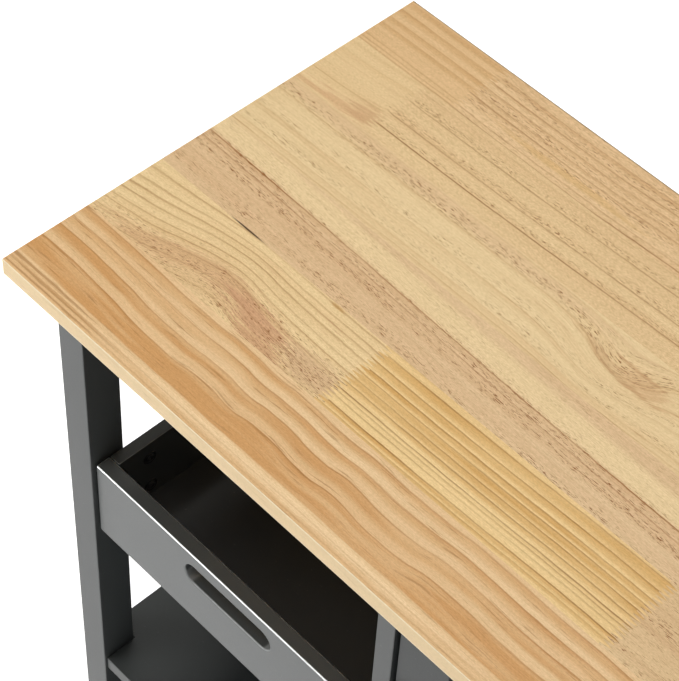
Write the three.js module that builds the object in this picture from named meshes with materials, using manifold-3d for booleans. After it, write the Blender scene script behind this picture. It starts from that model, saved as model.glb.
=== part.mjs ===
// Kitchen island cart: a pine worktop on a painted frame, with an open bay that holds a pull-out
// tray, a two-door cabinet and four swivel casters. Millimetres, +X along the front, +Y to the
// back, +Z up. The origin is on the floor under the middle of the worktop.
import * as THREE from 'three';
import { mergeVertices } from 'three/addons/utils/BufferGeometryUtils.js';
import Module from 'manifold-3d';

const wasm = await Module();
wasm.setup();

// ---- Driving dimensions ----
const LENGTH = 1200;
const DEPTH = 450;
const HEIGHT = 880;
const TOP_THICKNESS = 18;
const OVERHANG = 28;
const LEG_WIDTH = 30;             // along X
const LEG_DEPTH = 36;             // along Y
const CASTER_HEIGHT = 70;
const GAP = 0.3;                  // between pieces that touch
const PANEL = 18;                 // thickness of the upright panels
const SHELF = 16;                 // thickness of the shelves
const SHELF_INSET = 2.5;          // shelf edges sit this far inside the legs' outer faces
const BAY_WIDTH = 338;            // open bay, from leg to centre panel

const LEG_OUT_X = LENGTH / 2 - OVERHANG;
const LEG_IN_X = LEG_OUT_X - LEG_WIDTH;
const LEG_OUT_Y = DEPTH / 2 - OVERHANG;
const LEG_IN_Y = LEG_OUT_Y - LEG_DEPTH;
const UNDER_TOP = HEIGHT - TOP_THICKNESS;
const PANEL_LEFT = -LEG_IN_X + BAY_WIDTH;
const PANEL_RIGHT = PANEL_LEFT + PANEL;
const FRONT = -LEG_OUT_Y;         // plane of the legs' and centre panel's front faces

const BOTTOM_SHELF_TOP = 95;
const MIDDLE_SHELF_TOP = 330;
const CABINET_SHELF_TOP = 486;

const SHELF_NOTCH_GAP = 1.5;      // play behind each leg in a shelf's notch

const RAIL = { thickness: 18, setback: 2, frontHeight: 40, height: 60, inset: 5 };
const STRETCHER = { depth: 60, behindDoor: 3 };
const BACK_PANEL = { front: 188, thickness: 5 };
const CABINET_SHELF = { front: -170, back: 186, sideGap: 1.5 };

const TRAY = { rim: 641, height: 94, recess: 4, sideGap: 1.8, front: 15, back: 187 };
const TRAY_WALL = { thickness: 12, inset: 0.6 };
const TRAY_FLOOR = { top: 566.5, thickness: 5, groove: 4 };
const SLOT = { width: 105, height: 24, belowRim: 28 };
const RUNNER = { middle: 601, height: 10, reach: 7.5, groove: 6.6, setback: 2, short: 5 };
const SIDE_RAIL = { thickness: 12, above: 9, below: 17 };

const DOOR = { thickness: 16, recess: 3, hingeGap: 3, gap: 2, stile: 50, panel: 6, panelRecess: 6, lip: 7 };
const HINGE = { height: 50, fromEnd: 136, leaf: 0.8, depth: 25, knuckle: 2.5, pin: 1.2, bore: 1.5 };
const SHELF_PIN = { radius: 2.5, bore: 2.8, length: 16, depth: 8, fromCentre: 120, pitch: 64 };

const doorFront = FRONT + DOOR.recess;
const behindDoors = doorFront + DOOR.thickness + STRETCHER.behindDoor;

// ---- Materials ----
const paint = { color: 0x4a4d4e, roughness: 0.5, metalness: 0 };
const pine = { color: 0xdcba88, roughness: 0.55, metalness: 0 };
const darkBoard = { color: 0x3c3f40, roughness: 0.6, metalness: 0 };
const nickel = { color: 0xb5b5b3, roughness: 0.3, metalness: 0.9 };
const blackPlastic = { color: 0x17181a, roughness: 0.5, metalness: 0 };
const greyRubber = { color: 0x2b2c2e, roughness: 0.75, metalness: 0 };

// ---- Helpers ----
const cart = new THREE.Group();

function addMesh(name, geometry, material) {
  const mesh = new THREE.Mesh(geometry, new THREE.MeshStandardMaterial(material));
  mesh.name = name;
  cart.add(mesh);
  return mesh;
}

// A box between two corners.
function boxBetween(low, high) {
  const size = high.map((value, i) => value - low[i]);
  const geometry = new THREE.BoxGeometry(...size);
  geometry.translate(...low.map((value, i) => value + size[i] / 2));
  return geometry;
}

// A cylinder of a given radius from low to high along the named axis, centred on the other two.
function rod(axis, radius, low, high, centre, sides = 12) {
  const geometry = new THREE.CylinderGeometry(radius, radius, high - low, sides);
  if (axis === 'x') geometry.rotateZ(Math.PI / 2);
  if (axis === 'z') geometry.rotateX(Math.PI / 2);
  const middle = (low + high) / 2;
  const [first, second] = centre;
  const place = { x: [middle, first, second], y: [first, middle, second], z: [first, second, middle] };
  geometry.translate(...place[axis]);
  return geometry;
}

// Turns a lathe profile of [radius, height] pairs into a solid standing along Z.
function turned(profile, sides = 24) {
  const points = profile.map(([radius, height]) => new THREE.Vector2(radius, height));
  const geometry = new THREE.LatheGeometry(points, sides);
  geometry.rotateX(Math.PI / 2);
  return geometry;
}

// Extrudes an outline drawn in X and Z along +Y, from y = start for the given depth.
function extrudeAlongY(shape, start, depth, curveSegments = 8) {
  const geometry = new THREE.ExtrudeGeometry(shape, { depth, bevelEnabled: false, curveSegments });
  geometry.rotateX(Math.PI / 2);
  geometry.translate(0, start + depth, 0);
  return geometry;
}

// Extrudes an outline drawn in X and Y upwards, from z = low to z = high.
function extrudeUp(shape, low, high) {
  const geometry = new THREE.ExtrudeGeometry(shape, { depth: high - low, bevelEnabled: false });
  geometry.translate(0, 0, low);
  return geometry;
}

function polygon(points) {
  return new THREE.Shape(points.map(([a, b]) => new THREE.Vector2(a, b)));
}

function toSolid(geometry) {
  const bare = geometry.clone();
  bare.deleteAttribute('normal');
  bare.deleteAttribute('uv');
  const merged = mergeVertices(bare, 1e-4);
  const vertProperties = new Float32Array(merged.attributes.position.array);
  const triVerts = new Uint32Array(merged.index.array);
  return new wasm.Manifold(new wasm.Mesh({ numProp: 3, vertProperties, triVerts }));
}

function toGeometry(solid) {
  const mesh = solid.getMesh();
  const geometry = new THREE.BufferGeometry();
  geometry.setAttribute('position', new THREE.BufferAttribute(new Float32Array(mesh.vertProperties), 3));
  geometry.setIndex(new THREE.BufferAttribute(new Uint32Array(mesh.triVerts), 1));
  geometry.computeVertexNormals();
  return geometry;
}

function cut(base, ...tools) {
  return toGeometry(tools.reduce((solid, tool) => solid.subtract(toSolid(tool)), toSolid(base)));
}

function join(base, ...others) {
  return toGeometry(others.reduce((solid, other) => solid.add(toSolid(other)), toSolid(base)));
}

// ---- Worktop and frame ----
function buildWorktop() {
  const low = [-LENGTH / 2, -DEPTH / 2, UNDER_TOP + GAP];
  addMesh('worktop', boxBetween(low, [LENGTH / 2, DEPTH / 2, HEIGHT]), pine);
}

const CORNERS = [
  { name: 'front_left', side: -1, end: -1 },
  { name: 'front_right', side: 1, end: -1 },
  { name: 'back_left', side: -1, end: 1 },
  { name: 'back_right', side: 1, end: 1 },
];
const STEM = { radius: 4, bore: 4.4, top: 102, flange: 9 };

function legCentre(corner) {
  return [corner.side * (LEG_IN_X + LEG_WIDTH / 2), corner.end * (LEG_IN_Y + LEG_DEPTH / 2)];
}

function buildLegs() {
  for (const corner of CORNERS) {
    const [x, y] = legCentre(corner);
    const low = [x - LEG_WIDTH / 2, y - LEG_DEPTH / 2, CASTER_HEIGHT];
    const high = [x + LEG_WIDTH / 2, y + LEG_DEPTH / 2, UNDER_TOP];
    const socket = rod('z', STEM.bore, CASTER_HEIGHT - 1, STEM.top + 2, [x, y]);
    addMesh(`leg_${corner.name}`, cut(boxBetween(low, high), socket), paint);
  }
}

// Blind holes for the shelf pins, in two columns, on one face of an upright cabinet panel.
function pinHoles(faceX, direction) {
  const inner = faceX + direction * (SHELF_PIN.depth + 1);
  const [low, high] = [Math.min(inner, faceX - direction), Math.max(inner, faceX - direction)];
  const holes = [];
  for (const y of [-SHELF_PIN.fromCentre, SHELF_PIN.fromCentre]) {
    for (const step of [-1, 0, 1]) {
      const z = CABINET_SHELF_TOP - SHELF - GAP - SHELF_PIN.radius + step * SHELF_PIN.pitch;
      holes.push(rod('x', SHELF_PIN.bore, low, high, [y, z], 8));
    }
  }
  return holes;
}

function buildUprights() {
  const bottom = BOTTOM_SHELF_TOP + GAP;
  const centre = boxBetween([PANEL_LEFT, FRONT, bottom], [PANEL_RIGHT, -FRONT, UNDER_TOP]);
  addMesh('centre_panel', cut(centre, ...pinHoles(PANEL_RIGHT, -1)), paint);
  const halfDepth = LEG_IN_Y - GAP;
  const end = boxBetween([LEG_IN_X, -halfDepth, bottom], [LEG_IN_X + PANEL, halfDepth, UNDER_TOP]);
  addMesh('end_panel', cut(end, ...pinHoles(LEG_IN_X, 1)), paint);
  const backPanel = boxBetween([PANEL_RIGHT + GAP, BACK_PANEL.front, bottom],
    [LEG_IN_X - GAP, BACK_PANEL.front + BACK_PANEL.thickness, UNDER_TOP]);
  addMesh('back_panel', backPanel, darkBoard);
}

// A board outline with its corners cut away around the legs. The right corners are only cut
// where the board reaches the right-hand legs.
function notchedBoard(right, notchRight) {
  const left = -LEG_OUT_X + SHELF_INSET;
  const edge = LEG_OUT_Y - SHELF_INSET;
  const noseX = LEG_IN_X - GAP;
  const notchY = LEG_IN_Y - SHELF_NOTCH_GAP;
  const notchedEnd = (nose, end) => [
    [nose, -edge], [nose, -notchY], [end, -notchY],
    [end, notchY], [nose, notchY], [nose, edge],
  ];
  const squareEnd = [[right, edge], [right, -edge]];
  const rightEnd = notchRight ? notchedEnd(noseX, right).reverse() : squareEnd;
  return polygon([...notchedEnd(-noseX, left), ...rightEnd].reverse());
}

function buildShelves() {
  const bottom = notchedBoard(LEG_OUT_X - SHELF_INSET, true);
  addMesh('bottom_shelf', extrudeUp(bottom, BOTTOM_SHELF_TOP - SHELF, BOTTOM_SHELF_TOP), paint);
  const middle = notchedBoard(PANEL_LEFT - GAP, false);
  addMesh('middle_shelf', extrudeUp(middle, MIDDLE_SHELF_TOP - SHELF, MIDDLE_SHELF_TOP), paint);
  const { front, back, sideGap } = CABINET_SHELF;
  const cabinetShelf = boxBetween([PANEL_RIGHT + sideGap, front, CABINET_SHELF_TOP - SHELF],
    [LEG_IN_X - sideGap, back, CABINET_SHELF_TOP]);
  addMesh('cabinet_shelf', cabinetShelf, darkBoard);
}

function buildShelfPins() {
  const z = CABINET_SHELF_TOP - SHELF - GAP - SHELF_PIN.radius;
  const faces = [
    { name: 'left', x: PANEL_RIGHT, direction: 1 },
    { name: 'right', x: LEG_IN_X, direction: -1 },
  ];
  for (const face of faces) {
    for (const [place, y] of [['front', -SHELF_PIN.fromCentre], ['back', SHELF_PIN.fromCentre]]) {
      const inside = face.x - face.direction * SHELF_PIN.depth;
      const outside = inside + face.direction * SHELF_PIN.length;
      const pin = rod('x', SHELF_PIN.radius, Math.min(inside, outside), Math.max(inside, outside), [y, z], 8);
      addMesh(`shelf_pin_${face.name}_${place}`, pin, nickel);
    }
  }
}

function buildRails() {
  const bay = [-LEG_IN_X + GAP, PANEL_LEFT - GAP];
  const halfDepth = LEG_IN_Y - GAP;
  const railFront = FRONT + RAIL.setback;
  const frontRail = boxBetween([bay[0], railFront, UNDER_TOP - RAIL.frontHeight],
    [bay[1], railFront + RAIL.thickness, UNDER_TOP]);
  addMesh('top_rail_front', frontRail, paint);
  const backRail = boxBetween([bay[0], -railFront - RAIL.thickness, UNDER_TOP - RAIL.height],
    [bay[1], -railFront, UNDER_TOP]);
  addMesh('top_rail_back', backRail, paint);
  const leftRailInner = -LEG_IN_X - RAIL.inset;
  const leftRail = boxBetween([leftRailInner - RAIL.thickness, -halfDepth, UNDER_TOP - RAIL.height],
    [leftRailInner, halfDepth, UNDER_TOP]);
  addMesh('top_rail_left', leftRail, paint);
  const stretcher = boxBetween([PANEL_RIGHT + GAP, behindDoors, UNDER_TOP - SHELF],
    [LEG_IN_X - GAP, behindDoors + STRETCHER.depth, UNDER_TOP]);
  addMesh('door_stretcher', stretcher, darkBoard);
  const sideRail = boxBetween([-LEG_IN_X - SIDE_RAIL.thickness, -halfDepth, RUNNER.middle - SIDE_RAIL.below],
    [-LEG_IN_X, halfDepth, RUNNER.middle + SIDE_RAIL.above]);
  addMesh('tray_side_rail', sideRail, paint);
}

// ---- Tray and its runners ----
const trayLeft = -LEG_IN_X + TRAY.sideGap;
const trayRight = PANEL_LEFT - TRAY.sideGap;
const trayFront = FRONT + TRAY.recess;
const trayInside = trayFront + TRAY.front;
const trayBottom = TRAY.rim - TRAY.height;

function buildRunners() {
  const start = trayInside + RUNNER.setback;
  const end = LEG_OUT_Y - RUNNER.short;
  const [low, high] = [RUNNER.middle - RUNNER.height / 2, RUNNER.middle + RUNNER.height / 2];
  const left = -LEG_IN_X + GAP;
  const right = PANEL_LEFT - GAP;
  const reach = RUNNER.reach - GAP;
  addMesh('tray_runner_left', boxBetween([left, start, low], [left + reach, end, high]), blackPlastic);
  addMesh('tray_runner_right', boxBetween([right - reach, start, low], [right, end, high]), blackPlastic);
}

// Section of a tray side wall in X and Z: a runner groove in its outer face and a floor groove
// in its inner face. `outer` and `inner` are the X of the two faces.
function traySideSection(outer, inner) {
  const inward = Math.sign(inner - outer);
  const runnerDepth = outer + inward * RUNNER.groove;
  const floorDepth = inner - inward * TRAY_FLOOR.groove;
  const runnerHalf = RUNNER.height / 2 + GAP;
  const floorLow = TRAY_FLOOR.top - TRAY_FLOOR.thickness - GAP;
  const floorHigh = TRAY_FLOOR.top + GAP;
  return polygon([
    [outer, trayBottom], [inner, trayBottom],
    [inner, floorLow], [floorDepth, floorLow], [floorDepth, floorHigh], [inner, floorHigh],
    [inner, TRAY.rim], [outer, TRAY.rim],
    [outer, RUNNER.middle + runnerHalf], [runnerDepth, RUNNER.middle + runnerHalf],
    [runnerDepth, RUNNER.middle - runnerHalf], [outer, RUNNER.middle - runnerHalf],
  ]);
}

// A slot with round ends, drawn in X and Z.
function slotOutline() {
  const radius = SLOT.height / 2;
  const middleX = (trayLeft + trayRight) / 2;
  const middleZ = TRAY.rim - SLOT.belowRim;
  const reach = SLOT.width / 2 - radius;
  const path = new THREE.Path();
  path.absarc(middleX + reach, middleZ, radius, -Math.PI / 2, Math.PI / 2, false);
  path.absarc(middleX - reach, middleZ, radius, Math.PI / 2, Math.PI * 1.5, false);
  return path;
}

function buildTray() {
  const { rim, back } = TRAY;
  const bottomEdge = [[trayLeft, trayBottom], [trayRight, trayBottom]];
  const outline = polygon([...bottomEdge, [trayRight, rim], [trayLeft, rim]]);
  outline.holes.push(slotOutline());
  const frontBoard = extrudeAlongY(outline, trayFront, TRAY.front, 10);
  const innerLeft = trayLeft + TRAY_WALL.inset + TRAY_WALL.thickness;
  const innerRight = trayRight - TRAY_WALL.inset - TRAY_WALL.thickness;
  const floorLow = TRAY_FLOOR.top - TRAY_FLOOR.thickness;
  const grooveDepth = TRAY_FLOOR.groove;
  const floorGroove = boxBetween([innerLeft - grooveDepth, trayInside - grooveDepth, floorLow - GAP],
    [innerRight + grooveDepth, trayInside + 1, TRAY_FLOOR.top + GAP]);
  addMesh('tray_front', cut(frontBoard, floorGroove), paint);

  const wallLength = back - trayInside - GAP;
  const sides = {
    left: [trayLeft + TRAY_WALL.inset, innerLeft],
    right: [trayRight - TRAY_WALL.inset, innerRight],
  };
  for (const [side, [outer, inner]] of Object.entries(sides)) {
    const wall = extrudeAlongY(traySideSection(outer, inner), trayInside + GAP, wallLength);
    addMesh(`tray_${side}`, wall, paint);
  }

  const backFront = back - TRAY_WALL.thickness;
  const backBoard = boxBetween([innerLeft + GAP, backFront, trayBottom], [innerRight - GAP, back, rim]);
  const backGroove = boxBetween([innerLeft - 1, backFront - 1, floorLow - GAP],
    [innerRight + 1, backFront + grooveDepth, TRAY_FLOOR.top + GAP]);
  addMesh('tray_back', cut(backBoard, backGroove), paint);
  const reach = grooveDepth - GAP;
  const floorBoard = boxBetween([innerLeft - reach, trayInside - reach, floorLow],
    [innerRight + reach, backFront + reach, TRAY_FLOOR.top]);
  addMesh('tray_bottom', floorBoard, darkBoard);
}

// ---- Doors, hinges, knobs and catch ----
const doorWidth = (LEG_IN_X - PANEL_RIGHT - 2 * DOOR.hingeGap - DOOR.gap) / 2;
const doorLow = BOTTOM_SHELF_TOP + DOOR.gap;
const doorHigh = UNDER_TOP - DOOR.gap;
const hingeAxisY = FRONT - GAP - HINGE.knuckle;
const KNOB_HEIGHT = 590;          // above the floor
const DOORS = [
  { name: 'left', hingeFace: PANEL_RIGHT, inward: 1 },
  { name: 'right', hingeFace: LEG_IN_X, inward: -1 },
];

function doorSpan(door) {
  const hingeEdge = door.hingeFace + door.inward * DOOR.hingeGap;
  const freeEdge = hingeEdge + door.inward * doorWidth;
  return [Math.min(hingeEdge, freeEdge), Math.max(hingeEdge, freeEdge)];
}

function buildDoors() {
  for (const door of DOORS) {
    const [left, right] = doorSpan(door);
    const frame = polygon([[left, doorLow], [right, doorLow], [right, doorHigh], [left, doorHigh]]);
    const [openLeft, openRight] = [left + DOOR.stile, right - DOOR.stile];
    const [openLow, openHigh] = [doorLow + DOOR.stile, doorHigh - DOOR.stile];
    const opening = [[openLeft, openLow], [openLeft, openHigh], [openRight, openHigh], [openRight, openLow]];
    frame.holes.push(polygon(opening));
    const panelFront = doorFront + DOOR.panelRecess;
    const groove = boxBetween([openLeft - DOOR.lip - GAP, panelFront - GAP, openLow - DOOR.lip - GAP],
      [openRight + DOOR.lip + GAP, panelFront + DOOR.panel + GAP, openHigh + DOOR.lip + GAP]);
    addMesh(`door_${door.name}_frame`, cut(extrudeAlongY(frame, doorFront, DOOR.thickness), groove), paint);
    const panel = boxBetween([openLeft - DOOR.lip, panelFront, openLow - DOOR.lip],
      [openRight + DOOR.lip, panelFront + DOOR.panel, openHigh + DOOR.lip]);
    addMesh(`door_${door.name}_panel`, panel, paint);
    buildKnob(door, door.inward > 0 ? right : left);
    buildHinge(door, 'upper', doorHigh - HINGE.fromEnd - HINGE.height);
    buildHinge(door, 'lower', doorLow + HINGE.fromEnd);
  }
}

function buildKnob(door, freeEdge) {
  const profile = [[0, 0], [7.5, 0], [7.5, 2], [5, 5], [5, 12], [13, 18], [13, 22], [9, 25], [0, 25]];
  const geometry = turned(profile, 16);
  geometry.rotateX(Math.PI / 2);
  geometry.translate(freeEdge - door.inward * DOOR.stile / 2, doorFront - GAP, KNOB_HEIGHT);
  addMesh(`knob_${door.name}`, geometry, nickel);
}

// A butt hinge: the fixed leaf holds the pin and the two end knuckles, and the moving leaf has
// the middle knuckle, which turns on the pin.
function buildHinge(door, place, low) {
  const high = low + HINGE.height;
  const third = HINGE.height / 3;
  const axisX = door.hingeFace + door.inward * DOOR.hingeGap / 2;
  const axis = [axisX, hingeAxisY];
  const leafEnd = hingeAxisY + HINGE.depth;
  const plate = (near, from, to, reach) => {
    const far = near + door.inward * HINGE.leaf;
    return boxBetween([Math.min(near, far), hingeAxisY + reach, from], [Math.max(near, far), leafEnd, to]);
  };
  const fixedFace = door.hingeFace + door.inward * GAP;
  const movingFace = door.hingeFace + door.inward * (DOOR.hingeGap - GAP - HINGE.leaf);
  const clear = rod('z', HINGE.knuckle + GAP, low + third - GAP, high - third + GAP, axis, 12);
  const fixed = join(
    rod('z', HINGE.knuckle, low, low + third - GAP, axis),
    rod('z', HINGE.knuckle, high - third + GAP, high, axis),
    rod('z', HINGE.pin, low + 1, high - 1, axis, 8),
    plate(fixedFace, low, low + third - GAP, 0),
    plate(fixedFace, high - third + GAP, high, 0),
    cut(plate(fixedFace, low + 1, high - 1, 0), clear),
  );
  addMesh(`hinge_${door.name}_${place}_fixed_leaf`, fixed, nickel);
  const bore = rod('z', HINGE.bore, low - 1, high + 1, axis, 8);
  const clearEnds = [
    rod('z', HINGE.knuckle + GAP, low - 1, low + third, axis, 12),
    rod('z', HINGE.knuckle + GAP, high - third, high + 1, axis, 12),
  ];
  const moving = join(
    rod('z', HINGE.knuckle, low + third, high - third, axis),
    cut(plate(movingFace, low, high, 0), ...clearEnds),
  );
  addMesh(`hinge_${door.name}_${place}_moving_leaf`, cut(moving, bore), nickel);
}

function buildCatch() {
  const middle = (PANEL_RIGHT + LEG_IN_X) / 2;
  const top = UNDER_TOP - SHELF - GAP;
  const body = { half: 24, depth: 15, height: 14 };
  const catchBody = boxBetween([middle - body.half, behindDoors, top - body.height],
    [middle + body.half, behindDoors + body.depth, top]);
  addMesh('magnetic_catch', catchBody, blackPlastic);
}

// ---- Casters ----
const CASTER = { wheel: 25, width: 20, shoulder: 3, trail: 20, plate: 2.5, plateGap: 2 };
const CROWN = { low: 58, high: 64, radius: 18, bevel: 1.5, halfNeck: 15, boss: 9 };
const AXLE = { radius: 3, bore: 3.3, head: 5, headLength: 2 };
const BRAKE = { x: 34, z: 50, pin: 2.5, bore: 2.8, ear: 6, halfWidth: 11 };
const KINGPIN = { radius: 5, bore: 5.4, head: 8, low: 54.5, headTop: 57.3 };
const THROUGH = 30;               // half-length of the tools that cut holes across a fork

// A threaded stem with its flange, and a kingpin that the fork turns on.
function buildStem(corner, x, y) {
  const { low, head, headTop, radius } = KINGPIN;
  const flangeLow = CROWN.high + GAP;
  const flangeHigh = CASTER_HEIGHT - GAP;
  const profile = [
    [0, low], [head, low], [head, headTop], [radius, headTop], [radius, flangeLow],
    [STEM.flange, flangeLow], [STEM.flange, flangeHigh], [STEM.radius, flangeHigh],
    [STEM.radius, STEM.top - 1], [STEM.radius - 1, STEM.top], [0, STEM.top],
  ];
  const geometry = turned(profile, 12);
  geometry.translate(x, y, 0);
  addMesh(`caster_stem_${corner.name}`, geometry, nickel);
}

// A fork plate in X and Z: a neck under the crown, a round boss at the axle and, on a braked
// caster, an ear for the pedal's pin.
function forkPlateOutline(hasBrake) {
  const outline = new THREE.Shape();
  outline.moveTo(-CROWN.halfNeck, CROWN.high);
  outline.lineTo(-CROWN.halfNeck, CROWN.low - 4);
  outline.absarc(CASTER.trail, CASTER.wheel, CROWN.boss, Math.PI, Math.PI * 2.1, false);
  if (hasBrake) {
    outline.absarc(BRAKE.x, BRAKE.z, BRAKE.ear, -Math.PI / 8, Math.PI / 2, false);
  }
  outline.lineTo(CROWN.halfNeck, CROWN.high);
  outline.closePath();
  return outline;
}

function buildFork(corner, x, y, along, hasBrake) {
  const { low, high, radius, bevel } = CROWN;
  const profile = [[0, low], [radius, low], [radius, high - bevel], [radius - bevel, high], [0, high]];
  const crown = turned(profile, 20);
  const outline = forkPlateOutline(hasBrake);
  const plateIn = CASTER.width / 2 + CASTER.plateGap;
  const starts = [-plateIn - CASTER.plate, plateIn];
  const plates = starts.map((start) => extrudeAlongY(outline, start, CASTER.plate, 5));
  const holes = [
    rod('z', KINGPIN.bore, low - 2, high + 2, [0, 0]),
    rod('y', AXLE.bore, -THROUGH, THROUGH, [CASTER.trail, CASTER.wheel]),
  ];
  if (hasBrake) holes.push(rod('y', BRAKE.bore, -THROUGH, THROUGH, [BRAKE.x, BRAKE.z], 8));
  const geometry = cut(join(crown, ...plates), ...holes);
  if (along < 0) geometry.rotateZ(Math.PI);
  geometry.translate(x, y, 0);
  addMesh(`caster_fork_${corner.name}`, geometry, blackPlastic);
}

function buildWheelAndAxle(corner, x, y, along) {
  const { wheel, width, shoulder, plate, plateGap, trail } = CASTER;
  const half = width / 2;
  const place = [x + along * trail, y, wheel];
  const section = [
    [AXLE.bore, -half], [wheel - shoulder, -half], [wheel, shoulder - half],
    [wheel, half - shoulder], [wheel - shoulder, half], [AXLE.bore, half], [AXLE.bore, -half],
  ];
  const wheelGeometry = turned(section, 28);
  wheelGeometry.rotateX(Math.PI / 2);
  wheelGeometry.translate(...place);
  addMesh(`caster_wheel_${corner.name}`, wheelGeometry, greyRubber);

  const { radius, head, headLength } = AXLE;
  const inner = half + plateGap + plate + GAP;
  const outer = inner + headLength;
  const profile = [
    [0, -outer], [head, -outer], [head, -inner], [radius, -inner],
    [radius, inner], [head, inner], [head, outer], [0, outer],
  ];
  const axle = turned(profile, 12);
  axle.rotateX(Math.PI / 2);
  axle.translate(...place);
  addMesh(`caster_axle_${corner.name}`, axle, nickel);
}

// A foot lever over the trailing side of the wheel, with a shoe that comes down on the tyre.
function buildBrake(corner, x, y, along) {
  const { halfWidth } = BRAKE;
  const pinHalf = CASTER.width / 2 + CASTER.plateGap + CASTER.plate;
  // The lever's side view about its pin: pin end, shoe, tread and back.
  const side = [[-3, -2.5], [5, -4], [10, -8], [13, -6], [12, 1], [28, 6], [27, 9], [8, 4], [-3, 3]];
  const lever = polygon(side.map(([dx, dz]) => [BRAKE.x + dx, BRAKE.z + dz]));
  const pin = rod('y', BRAKE.pin, -pinHalf, pinHalf, [BRAKE.x, BRAKE.z], 8);
  const geometry = join(extrudeAlongY(lever, -halfWidth, 2 * halfWidth), pin);
  if (along < 0) geometry.rotateZ(Math.PI);
  geometry.translate(x, y, 0);
  addMesh(`brake_pedal_${corner.name}`, geometry, blackPlastic);
}

function buildCasters() {
  for (const corner of CORNERS) {
    const [x, y] = legCentre(corner);
    const along = -corner.side;      // the wheels trail towards the middle of the cart
    const hasBrake = corner.end < 0;
    buildStem(corner, x, y);
    buildFork(corner, x, y, along, hasBrake);
    buildWheelAndAxle(corner, x, y, along);
    if (hasBrake) buildBrake(corner, x, y, along);
  }
}

buildWorktop();
buildLegs();
buildUprights();
buildShelves();
buildShelfPins();
buildRails();
buildRunners();
buildTray();
buildDoors();
buildCatch();
buildCasters();

export default cart;
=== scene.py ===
"""Looks of the kitchen island cart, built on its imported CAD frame.

A finger-jointed pine worktop stands on a painted frame with an open bay, a pull-out tray, a
two-door cabinet and four swivel casters. The row frame is in metres: +X runs along the front, +Y to
the back and +Z up. Sizes of small things are written in millimetres and multiplied by MM.
"""
import math
import random
from collections import namedtuple

import bmesh
import bpy
from mathutils import Matrix, Vector


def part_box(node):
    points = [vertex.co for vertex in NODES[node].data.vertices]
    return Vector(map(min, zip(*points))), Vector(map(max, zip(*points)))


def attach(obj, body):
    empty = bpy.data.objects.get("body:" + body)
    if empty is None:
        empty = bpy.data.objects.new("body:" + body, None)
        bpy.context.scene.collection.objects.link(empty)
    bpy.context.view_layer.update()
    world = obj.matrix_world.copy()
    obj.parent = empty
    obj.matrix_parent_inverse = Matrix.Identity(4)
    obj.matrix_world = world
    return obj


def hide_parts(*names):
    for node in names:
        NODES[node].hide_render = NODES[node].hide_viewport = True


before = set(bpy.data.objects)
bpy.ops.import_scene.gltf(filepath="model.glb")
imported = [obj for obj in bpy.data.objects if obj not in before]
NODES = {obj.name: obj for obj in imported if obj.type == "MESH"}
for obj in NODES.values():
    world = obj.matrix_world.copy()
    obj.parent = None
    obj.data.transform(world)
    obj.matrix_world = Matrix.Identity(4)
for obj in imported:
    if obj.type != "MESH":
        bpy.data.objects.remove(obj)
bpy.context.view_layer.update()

MM = 0.001
CORNERS = ("front_left", "front_right", "back_left", "back_right")
UP = Vector((0, 0, 1))


# ---- Colours and shader nodes ------------------------------------------------------------------

def linear(red, green, blue):
    """Scene-linear colour of an 8-bit display colour."""
    def channel(value):
        value /= 255
        return value / 12.92 if value <= 0.04045 else ((value + 0.055) / 1.055) ** 2.4
    return (channel(red), channel(green), channel(blue), 1.0)


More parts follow.
